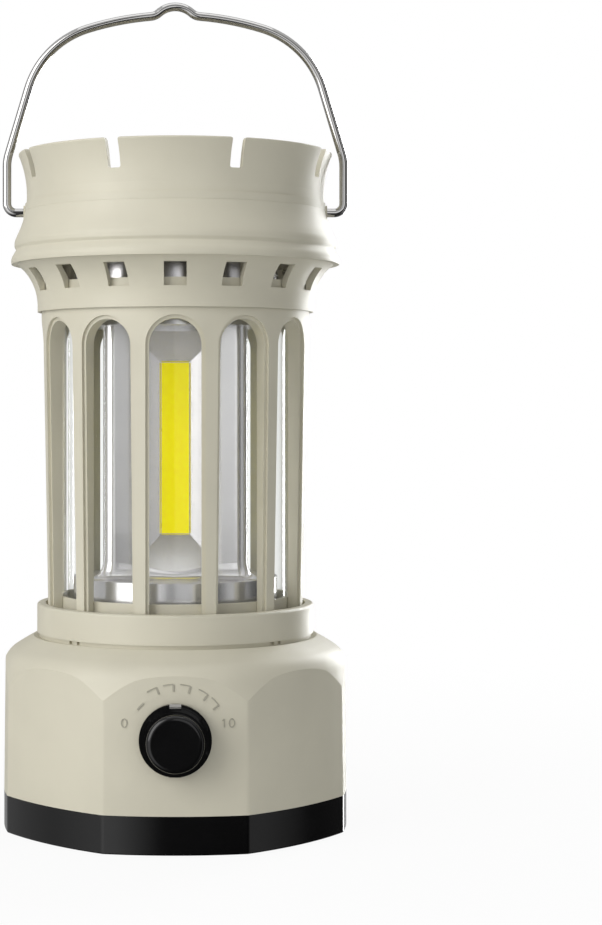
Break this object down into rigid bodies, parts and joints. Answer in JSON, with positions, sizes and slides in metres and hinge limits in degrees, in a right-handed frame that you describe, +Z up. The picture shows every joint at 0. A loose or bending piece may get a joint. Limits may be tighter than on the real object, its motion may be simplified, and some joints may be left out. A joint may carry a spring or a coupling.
{
  "type": "camping lantern",
  "caption": "Camping lantern with an octagonal base, slotted cage round a clear tube and LED tower, notched crown, wire bail and front dimmer knob.",
  "frame": {"origin": "centre of the rubber pad's underside, where the lantern stands", "axes": "+Z up, -Y the front with the dimmer knob, +X to the right seen from the front"},
  "size_m": [0.104, 0.1114, 0.246],
  "materials": {
    "cream_plastic": "fine satin moulded plastic, warm cream",
    "gloss_black": "smooth black",
    "dark_plastic": "moulded black",
    "black_rubber": "matt rubber",
    "grey_rubber": "soft grey seal",
    "cream_rubber": "soft cream rubber",
    "steel_screw": "plated steel",
    "steel_shell": "drawn steel",
    "brass_contact": "stamped, plated",
    "cell_can": null,
    "circuit_board": "green solder mask",
    "lead_sleeve": "sleeved wires",
    "clear_tube": "clear, polished; drawn thin-walled",
    "silver_plastic": "vacuum metallised, bright",
    "aluminium_core": "extruded",
    "led_yellow": "yellow phosphor",
    "pointer_grey": "light grey inlay",
    "polished_wire": "polished steel wire"
  },
  "bodies": {
    "lantern": {"base_cover": "gloss_black", "grip_pad": "black_rubber", "cover_screws": "steel_screw", "base_housing": "cream_plastic", "battery_cradle": "dark_plastic", "battery_cell": "cell_can", "battery_contacts": "brass_contact", "charge_board": "circuit_board", "board_screws": "steel_screw", "usb_socket": "steel_shell", "control_board": "circuit_board", "battery_lead": "lead_sleeve", "led_lead": "lead_sleeve", "dimmer_pot": "dark_plastic", "dimmer_nut": "brass_contact", "collar_ring": "cream_plastic", "cage": "cream_plastic", "cage_screws": "steel_screw", "lens_seat": "cream_plastic", "lens_gasket_lower": "grey_rubber", "lens_tube": "clear_tube", "lens_gasket_upper": "grey_rubber", "reflector_base": "silver_plastic", "drum_screws": "steel_screw", "core_screws": "steel_screw", "tower_reflector": "silver_plastic", "heat_sink": "aluminium_core", "reflector_cap": "silver_plastic", "cap_screws": "steel_screw", "corbel_ring": "cream_plastic", "top_plate": "cream_plastic", "frame_screws": "steel_screw", "crown": "cream_plastic", "crown_screws": "steel_screw", "led_board_1": "aluminium_core", "led_board_2": "aluminium_core", "led_board_3": "aluminium_core", "led_emitter_1": "led_yellow", "led_emitter_2": "led_yellow", "led_emitter_3": "led_yellow"},
    "bail": {"bail_handle": "polished_wire"},
    "dimmer": {"dimmer_shaft": "steel_shell", "dimmer_knob": "gloss_black", "knob_pointer": "pointer_grey"},
    "flap": {"port_cover": "cream_rubber"}
  },
  "joints": [
    {"name": "bail_swing", "type": "hinge", "parent": "lantern", "child": "bail", "pos_m": [0, 0, 0.1826], "axis": [1, 0, 0], "range_deg": [-130, 130]},
    {"name": "dimmer_turn", "type": "hinge", "parent": "lantern", "child": "dimmer", "pos_m": [0, -0.0517, 0.0323], "axis": [0, -1, 0], "range_deg": [-75, 75]},
    {"name": "flap_open", "type": "hinge", "parent": "lantern", "child": "flap", "pos_m": [0, 0.04977, 0.02533], "axis": [-1, 0, 0], "range_deg": [0, 90]}
  ]
}
